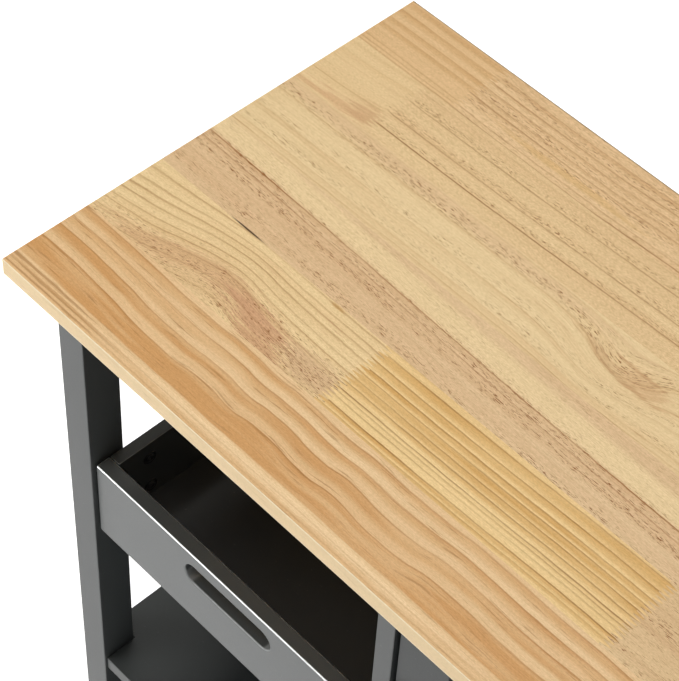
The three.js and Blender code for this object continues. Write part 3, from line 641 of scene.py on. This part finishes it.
def build_worktop():
    """The worktop as one closed mesh, divided into its glued boards."""
    low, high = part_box("worktop")
    origin = Vector((low.x, low.y, high.z))
    length = (high.x - low.x) / MM
    thickness = high.z - low.z
    materials = []
    boards = []
    for strip, (front, back) in zip(STRIPS, zip(STRIP_EDGES, STRIP_EDGES[1:])):
        left_line = [(0.0, front), (0.0, back)]
        for joint, grain in strip:
            right_line = [(length, front), (length, back)]
            if joint is not None:
                right_line = finger_joint(joint, front, back)
            name = f"pine_board_{len(boards) + 1:02d}"
            materials.append(pine(name, origin, seed=float(len(boards)), **grain))
            boards.append((left_line, right_line, front, back))
            left_line = right_line

    shared = {edge: set() for edge in STRIP_EDGES}
    for left_line, right_line, front, back in boards:
        shared[front].update((left_line[0][0], right_line[0][0]))
        shared[back].update((left_line[-1][0], right_line[-1][0]))

    mesh = bmesh.new()
    vertices = {}

    def vertex(point, depth):
        key = (round(point[0], 4), round(point[1], 4), depth)
        if key not in vertices:
            vertices[key] = mesh.verts.new(origin + Vector((point[0] * MM, point[1] * MM, -depth)))
        return vertices[key]

    rims = {}
    for index, (left_line, right_line, front, back) in enumerate(boards):
        front_points = [(x, front) for x in sorted(shared[front])
                        if left_line[0][0] < x < right_line[0][0]]
        back_points = [(x, back) for x in sorted(shared[back], reverse=True)
                       if left_line[-1][0] < x < right_line[-1][0]]
        outline = [left_line[0], *front_points, *right_line, *back_points, *reversed(left_line[1:])]
        top = mesh.faces.new([vertex(point, 0.0) for point in outline])
        under = mesh.faces.new([vertex(point, thickness) for point in reversed(outline)])
        top.material_index = under.material_index = index
        for start, end in zip(outline, outline[1:] + outline[:1]):
            rims[(start, end)] = index
    for (start, end), index in rims.items():
        if (end, start) in rims:
            continue
        corners = [vertex(start, 0.0), vertex(start, thickness),
                   vertex(end, thickness), vertex(end, 0.0)]
        mesh.faces.new(corners).material_index = index
    worktop = new_piece("worktop_boards", mesh, "cart", "pine_top", materials)
    soften(worktop, TOP_ROUNDING * MM)
    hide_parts("worktop")


# ---- Mesh helpers ------------------------------------------------------------------------------

def new_object(name, mesh, materials):
    """Turns a bmesh into an object of the scene."""
    data = bpy.data.meshes.new(name)
    mesh.to_mesh(data)
    mesh.free()
    for material in materials:
        data.materials.append(material)
    thing = bpy.data.objects.new(name, data)
    bpy.context.scene.collection.objects.link(thing)
    return thing


def shade_smooth(data):
    """Marks all faces as smooth, so that only the rounded edges curve."""
    data.polygons.foreach_set("use_smooth", [True] * len(data.polygons))


def new_piece(name, mesh, body, slot, materials=None):
    """Turns a bmesh into a piece that rides on a CAD body, with its slot's finish if no other."""
    bmesh.ops.recalc_face_normals(mesh, faces=mesh.faces)
    piece = new_object(name, mesh, materials or [FINISHES[slot]])
    shade_smooth(piece.data)
    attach(piece, body)
    return piece


SHARP_ANGLE = math.radians(30)
SMALL_ROUNDING = 0.3 * MM


def soften(piece, width, segments=3):
    """Rounds a piece's edges, with shading that keeps its flat faces flat."""
    bevel = piece.modifiers.new("rounded_edges", "BEVEL")
    bevel.width = width
    bevel.segments = segments
    bevel.limit_method = "ANGLE"
    bevel.angle_limit = SHARP_ANGLE
    bevel.harden_normals = True
    # Every width here is small beside its piece, and sliding or clamping would fold the corners.
    bevel.use_clamp_overlap = False
    bevel.loop_slide = False


def star(mesh, axis, centre, radii, height):
    """Closed line of vertices round an axis, at a height along it, with a radius for each."""
    turn = UP.rotation_difference(axis)
    points = []
    for i, radius in enumerate(radii):
        angle = 2 * math.pi * i / len(radii)
        local = Vector((radius * math.cos(angle), radius * math.sin(angle), height))
        points.append(mesh.verts.new(centre + turn @ local))
    return points


def ring(mesh, axis, centre, radius, height, sides):
    """Circle of vertices round an axis, at a height along it."""
    return star(mesh, axis, centre, [radius] * sides, height)


def bridge(mesh, first, second):
    """Band of faces between two closed lines of as many vertices."""
    count = len(first)
    for i in range(count):
        mesh.faces.new((first[i], first[(i + 1) % count], second[(i + 1) % count], second[i]))


def lathe(mesh, axis, centre, profile, sides=32):
    """Solid of revolution. profile is (radius, height) from one end to the other."""
    rings = [ring(mesh, axis, centre, radius, height, sides) for radius, height in profile]
    for first, second in zip(rings, rings[1:]):
        bridge(mesh, first, second)
    return rings


def capped_lathe(mesh, axis, centre, profile, sides=32):
    """Solid of revolution with a flat face at each end."""
    rings = lathe(mesh, axis, centre, profile, sides)
    mesh.faces.new(list(reversed(rings[0])))
    mesh.faces.new(rings[-1])


def screw_head(mesh, axis, centre, radius):
    """Domed screw head with a cross recess, standing on a surface."""
    sides = 24
    height = radius * 0.3
    profile = [(radius, 0.0), (radius, height * 0.35), (radius * 0.85, height * 0.8),
               (radius * 0.55, height)]
    rings = lathe(mesh, axis, centre, profile, sides)
    in_arm = [abs(math.cos(4 * math.pi * i / sides)) > 0.8 for i in range(sides)]
    cross = star(mesh, axis, centre, [radius * (0.46 if arm else 0.16) for arm in in_arm], height)
    bridge(mesh, rings[-1], cross)
    down = UP.rotation_difference(axis) @ Vector((0, 0, -height * 0.8))
    recess = [mesh.verts.new(point.co + down) for point in cross]
    bridge(mesh, cross, recess)
    mesh.faces.new(recess)
    mesh.faces.new(list(reversed(rings[0])))


def box_mesh(mesh, low, high):
    """Plain box between two corners."""
    corners = [mesh.verts.new((x, y, z)) for z in (low[2], high[2]) for y in (low[1], high[1])
               for x in (low[0], high[0])]
    for face in ((0, 2, 3, 1), (4, 5, 7, 6), (0, 1, 5, 4), (1, 3, 7, 5), (3, 2, 6, 7),
                 (2, 0, 4, 6)):
        mesh.faces.new([corners[i] for i in face])


# ---- CAD nodes that keep their own shape -------------------------------------------------------

# For each slot, the width of the rounded edges, and the gap below which two corners are joined so
# that the rounding doesn't fold there. Both are in millimetres.
EDGES = {
    "slate_paint": (0.9, 0.02),
    "dark_board": (0.5, 0.02),
    "black_plastic": (0.6, 0.02),
    "caster_black": (0.15, 0.2),
    "nickel": (0.15, 0.06),
    "wheel_grey": (0.6, 0.02),
}
# The tray's front is rounded more, which widens the painted highlight along its edges.
TRAY_FRONT_EDGE = 1.7
FLAT_ANGLE = math.radians(0.5)
# Nodes with a finish of their own: the tray front's copy of the slate paint is painted lighter for
# the light on it, and the doors' copy darker, a painted shade. Every other node's finish has the
# name of its slot.
NODE_FINISHES = {
    "tray_front": "lit_tray_paint",
    "door_left_frame": "door_paint",
    "door_left_panel": "door_paint",
    "door_right_frame": "door_paint",
    "door_right_panel": "door_paint",
}


def dress_cad_node(node):
    """Gives a CAD node its finish and rounded edges, leaving its vertices alone."""
    slot = node.data.materials[0].name.split(".")[0]
    if slot not in EDGES:
        return
    width, gap = EDGES[slot]
    node.material_slots[0].material = FINISHES[NODE_FINISHES.get(node.name, slot)]
    for name in ("custom_normal", "sharp_edge"):
        attribute = node.data.attributes.get(name)
        if attribute is not None:
            node.data.attributes.remove(attribute)
    shade_smooth(node.data)
    weld = node.modifiers.new("joined_corners", "WELD")
    weld.merge_threshold = gap * MM
    flat = node.modifiers.new("whole_faces", "DECIMATE")
    flat.decimate_type = "DISSOLVE"
    flat.angle_limit = FLAT_ANGLE
    if node.name == "tray_front":
        width = TRAY_FRONT_EDGE
    soften(node, width * MM, segments=2 if slot == "nickel" else 3)


# ---- Casters -----------------------------------------------------------------------------------

def build_wheel(corner):
    """Grey tyre on a dark hub, in place of the plain CAD wheel."""
    low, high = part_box(f"caster_wheel_{corner}")
    centre = (low + high) / 2
    radius = (high.z - low.z) / 2
    half = (high.y - low.y) / 2
    axis = Vector((0, 1, 0))
    hub_radius = radius * 0.68
    tyre = bmesh.new()
    profile = [(hub_radius, -half * 0.9), (radius * 0.8, -half), (radius * 0.9, -half * 0.96),
               (radius * 0.965, -half * 0.8), (radius * 0.99, -half * 0.5), (radius, 0.0),
               (radius * 0.99, half * 0.5), (radius * 0.965, half * 0.8),
               (radius * 0.9, half * 0.96), (radius * 0.8, half), (hub_radius, half * 0.9)]
    rings = lathe(tyre, axis, centre, profile, 48)
    bridge(tyre, rings[-1], rings[0])
    body = f"{corner}_wheel"
    new_piece(f"wheel_tyre_{corner}", tyre, body, "wheel_grey")

    hub = bmesh.new()
    bore = 3.3 * MM
    boss = 7.0 * MM
    web = half * 0.45
    rim = hub_radius - 0.05 * MM
    side = [(rim, half * 0.86), (rim - 1.6 * MM, half * 0.86), (rim - 2.6 * MM, web),
            (boss + 1.2 * MM, web), (boss, half * 0.98), (bore, half * 0.98)]
    profile = [(r, -y) for r, y in side] + [(r, y) for r, y in reversed(side)]
    rings = lathe(hub, axis, centre, profile, 48)
    bridge(hub, rings[-1], rings[0])
    piece = new_piece(f"wheel_hub_{corner}", hub, body, "caster_black")
    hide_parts(f"caster_wheel_{corner}")


def build_pedal_ribs(corner):
    """Raised grip bars on the sloping tread of a brake pedal."""
    low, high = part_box(f"brake_pedal_{corner}")
    inwards = 1 if low.x < 0 else -1
    tip = high.x if inwards > 0 else low.x
    spacing, drop = 4.0 * MM, 1.25 * MM
    inset = 5 * MM
    half_width = 0.6 * MM
    ribs = bmesh.new()
    for i in range(3):
        middle = tip - inwards * (3.5 * MM + spacing * i)
        tread = high.z - (0.9 * MM + drop * i)
        box_mesh(ribs, (middle - half_width, low.y + inset, tread - 1.0 * MM),
                 (middle + half_width, high.y - inset, tread + 0.55 * MM))
    piece = new_piece(f"brake_grip_{corner}", ribs, f"{corner}_brake", "caster_black")
    soften(piece, SMALL_ROUNDING)


# ---- Small fittings ----------------------------------------------------------------------------

def build_cam_locks():
    """Pairs of cam locks in the tray walls, close behind the front board."""
    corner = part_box("tray_front")[1]
    faces = (("left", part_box("tray_left")[1].x, 1), ("right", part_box("tray_right")[0].x, -1))
    behind_front = 34 * MM
    housing = [(7.2 * MM, 0.0), (7.2 * MM, 0.5 * MM), (6.8 * MM, 0.8 * MM), (6.1 * MM, 0.8 * MM),
               (5.8 * MM, 0.3 * MM)]
    for side, face, direction in faces:
        axis = Vector((direction, 0, 0))
        locks = bmesh.new()
        for below_rim in (20 * MM, 60 * MM):
            centre = Vector((face, corner.y + behind_front, corner.z - below_rim))
            capped_lathe(locks, axis, centre, housing)
            screw_head(locks, axis, centre + axis * housing[-1][1], 4.6 * MM)
        new_piece(f"cam_locks_{side}", locks, "tray", "black_plastic")


def build_hinge_screws():
    """Three screw heads on the face of each hinge's fixed leaf."""
    leaf = 1.1 * MM
    # Above the leaf's middle, and in front of its back edge.
    places = ((-16, 10), (0, 17), (16, 10))
    sides = (("left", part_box("centre_panel")[1].x, 1), ("right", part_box("end_panel")[0].x, -1))
    for side, panel_face, direction in sides:
        for level in ("upper", "lower"):
            low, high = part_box(f"hinge_{side}_{level}_fixed_leaf")
            middle = (low.z + high.z) / 2
            screws = bmesh.new()
            for up, depth in places:
                centre = Vector((panel_face + direction * leaf, high.y - depth * MM,
                                 middle + up * MM))
                screw_head(screws, Vector((direction, 0, 0)), centre, 2.4 * MM)
            new_piece(f"hinge_screws_{side}_{level}", screws, "cart", "nickel")


def build_leg_bolts():
    """Domed bolt heads on the outer side of each leg, at the top rails and at the bottom shelf."""
    rail_middle = sum(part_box("top_rail_front")[i].z for i in (0, 1)) / 2
    shelf_middle = sum(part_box("bottom_shelf")[i].z for i in (0, 1)) / 2
    half_gap = 12 * MM
    for corner in CORNERS:
        low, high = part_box(f"leg_{corner}")
        outward = -1 if low.x < 0 else 1
        face = low.x if outward < 0 else high.x
        bolts = bmesh.new()
        for height in (rail_middle + half_gap, rail_middle - half_gap, shelf_middle):
            centre = Vector((face, (low.y + high.y) / 2, height))
            screw_head(bolts, Vector((outward, 0, 0)), centre, 4.5 * MM)
        new_piece(f"leg_bolts_{corner}", bolts, "cart", "black_plastic")


def build_back_screws():
    """A row of pan-head screws down each side of the back panel."""
    low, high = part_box("back_panel")
    screws = bmesh.new()
    inset = 10 * MM
    rows = 5
    for x in (low.x + inset, high.x - inset):
        for row in range(rows):
            z = low.z + inset + (high.z - low.z - 2 * inset) * row / (rows - 1)
            screw_head(screws, Vector((0, 1, 0)), Vector((x, high.y, z)), 3.0 * MM)
    new_piece("back_screws", screws, "cart", "nickel")


def build_strike_plates():
    """Steel plate on the back of each door that the magnet holds."""
    catch_low, catch_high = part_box("magnetic_catch")
    middle_z = (catch_low.z + catch_high.z) / 2
    half_height, thickness = 6 * MM, 1.0 * MM
    for side, direction in (("left", -1), ("right", 1)):
        low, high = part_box(f"door_{side}_frame")
        edge = high.x if side == "left" else low.x
        plate = bmesh.new()
        start, end = edge + direction * 4 * MM, edge + direction * 22 * MM
        box_mesh(plate, (min(start, end), high.y, middle_z - half_height),
                 (max(start, end), high.y + thickness, middle_z + half_height))
        piece = new_piece(f"strike_plate_{side}", plate, f"{side}_door", "nickel")
        soften(piece, SMALL_ROUNDING)


def build_knob(side):
    """Turned knob with a rounded face, in place of the CAD knob."""
    low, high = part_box(f"knob_{side}")
    centre = Vector(((low.x + high.x) / 2, high.y, (low.z + high.z) / 2))
    radius = (high.x - low.x) / 2
    length = high.y - low.y
    shape = [(0.58, 0.0), (0.58, 0.06), (0.42, 0.14), (0.36, 0.26), (0.36, 0.44), (0.46, 0.56),
             (0.78, 0.66), (0.96, 0.73), (1.0, 0.8), (0.98, 0.88), (0.88, 0.95), (0.7, 0.985),
             (0.4, 1.0)]
    profile = [(r * radius, y * length) for r, y in shape]
    knob = bmesh.new()
    capped_lathe(knob, Vector((0, -1, 0)), centre, profile, 48)
    piece = new_piece(f"knob_turned_{side}", knob, f"{side}_door", "nickel")
    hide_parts(f"knob_{side}")


# ---- Room, light and camera --------------------------------------------------------------------

WHITE = (1.0, 1.0, 1.0, 1.0)


def glowing(name, level, per_mm, cloudiness, roughness, glow):
    """Pale studio surface that shines a little by itself, with faint clouds."""
    s = Surface(name)
    cloud = s.noise(s.millimetres((0, 0, 0)), (per_mm,) * 3)
    colour = s.brighten((level, level, level, 1.0), s.scaled(cloud, cloudiness, 1.0))
    return s.finish(colour, roughness, Emission_Color=WHITE, Emission_Strength=glow)


def build_floor():
    """Pale floor that the cart stands on."""
    half_size = 14.0
    cells = 4
    step = 2 * half_size / cells
    mesh = bmesh.new()
    grid = [[mesh.verts.new((i * step - half_size, j * step - half_size, 0.0))
             for i in range(cells + 1)] for j in range(cells + 1)]
    for j in range(cells):
        for i in range(cells):
            mesh.faces.new((grid[j][i], grid[j][i + 1], grid[j + 1][i + 1], grid[j + 1][i]))
    paint = glowing("pale_floor", level=0.93, per_mm=0.002, cloudiness=0.02, roughness=0.7,
                    glow=0.75)
    floor = new_object("floor", mesh, [paint])


def build_backdrop():
    """Pale wall far round the stage. Only the camera sees it, so it adds no light to the cart."""
    radius, height, sides = 13.8, 14.0, 48
    mesh = bmesh.new()
    foot = ring(mesh, UP, Vector(), radius, 0.0, sides)
    head = ring(mesh, UP, Vector(), radius, height, sides)
    bridge(mesh, head, foot)
    paint = glowing("pale_wall", level=0.05, per_mm=0.0005, cloudiness=0.1, roughness=0.9,
                    glow=0.76)
    wall = new_object("backdrop", mesh, [paint])
    wall.visible_diffuse = False
    wall.visible_glossy = False
    wall.visible_shadow = False


def add_area_light(name, place, target, width, height, power, colour=WHITE[:3]):
    """Softbox that faces a target. Places and sizes are in metres, and the power is in watts."""
    light = bpy.data.lights.new(name, "AREA")
    light.shape = "RECTANGLE"
    light.size = width
    light.size_y = height
    light.energy = power
    light.color = colour
    lamp = bpy.data.objects.new(name, light)
    lamp.location = place
    lamp.rotation_euler = (Vector(target) - Vector(place)).to_track_quat("-Z", "Y").to_euler()
    bpy.context.scene.collection.objects.link(lamp)


def build_light():
    """A large softbox above, a small one for the front, and one that lights the back."""
    scene = bpy.context.scene
    world = bpy.data.worlds.new("studio")
    world.use_nodes = True
    background = world.node_tree.nodes["Background"]
    background.inputs["Color"].default_value = WHITE
    background.inputs["Strength"].default_value = 0.04
    scene.world = world
    scene.view_settings.view_transform = "Standard"
    warm = (1.0, 0.993, 0.955)
    add_area_light("top_softbox", (-0.4, 0.1, 3.4), (-0.3, 0.1, 0.5), 3.2, 2.8, 82.0, warm)
    add_area_light("front_softbox", (-1.7, -2.0, 1.35), (-0.4, -0.2, 0.6), 1.2, 0.9, 20.0)
    add_area_light("back_softbox", (1.9, 2.4, 1.2), (0.1, 0.2, 0.5), 1.6, 1.2, 12.0)


def build_camera():
    """Long lens above the worktop's front left quarter, at the photograph's viewing angle."""
    azimuth = math.radians(43.59)
    elevation = math.radians(50.52)
    roll = math.radians(3.71)
    distance = 1.7251
    from_left_end, from_front = 0.2336, 0.1393
    low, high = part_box("worktop")
    target = Vector((low.x + from_left_end, low.y + from_front, high.z))
    towards = Vector((math.sin(azimuth) * math.cos(elevation),
                      -math.cos(azimuth) * math.cos(elevation), math.sin(elevation)))
    level_right = (-towards).cross(UP).normalized()
    level_up = level_right.cross(-towards)
    right = level_right * math.cos(roll) + level_up * math.sin(roll)
    up = level_up * math.cos(roll) - level_right * math.sin(roll)
    data = bpy.data.cameras.new("camera")
    data.lens = 120.44
    data.clip_end = 100.0
    camera = bpy.data.objects.new("camera", data)
    turn = Matrix((right, up, towards)).transposed().to_4x4()
    camera.matrix_world = Matrix.Translation(target + towards * distance) @ turn
    bpy.context.scene.collection.objects.link(camera)
    bpy.context.scene.camera = camera


# ---- The whole cart ----------------------------------------------------------------------------

build_camera()
for node in NODES.values():
    dress_cad_node(node)
build_worktop()
for corner in CORNERS:
    build_wheel(corner)
for corner in ("front_left", "front_right"):
    build_pedal_ribs(corner)
for side in ("left", "right"):
    build_knob(side)
build_cam_locks()
build_hinge_screws()
build_leg_bolts()
build_back_screws()
build_strike_plates()
build_floor()
build_backdrop()
build_light()
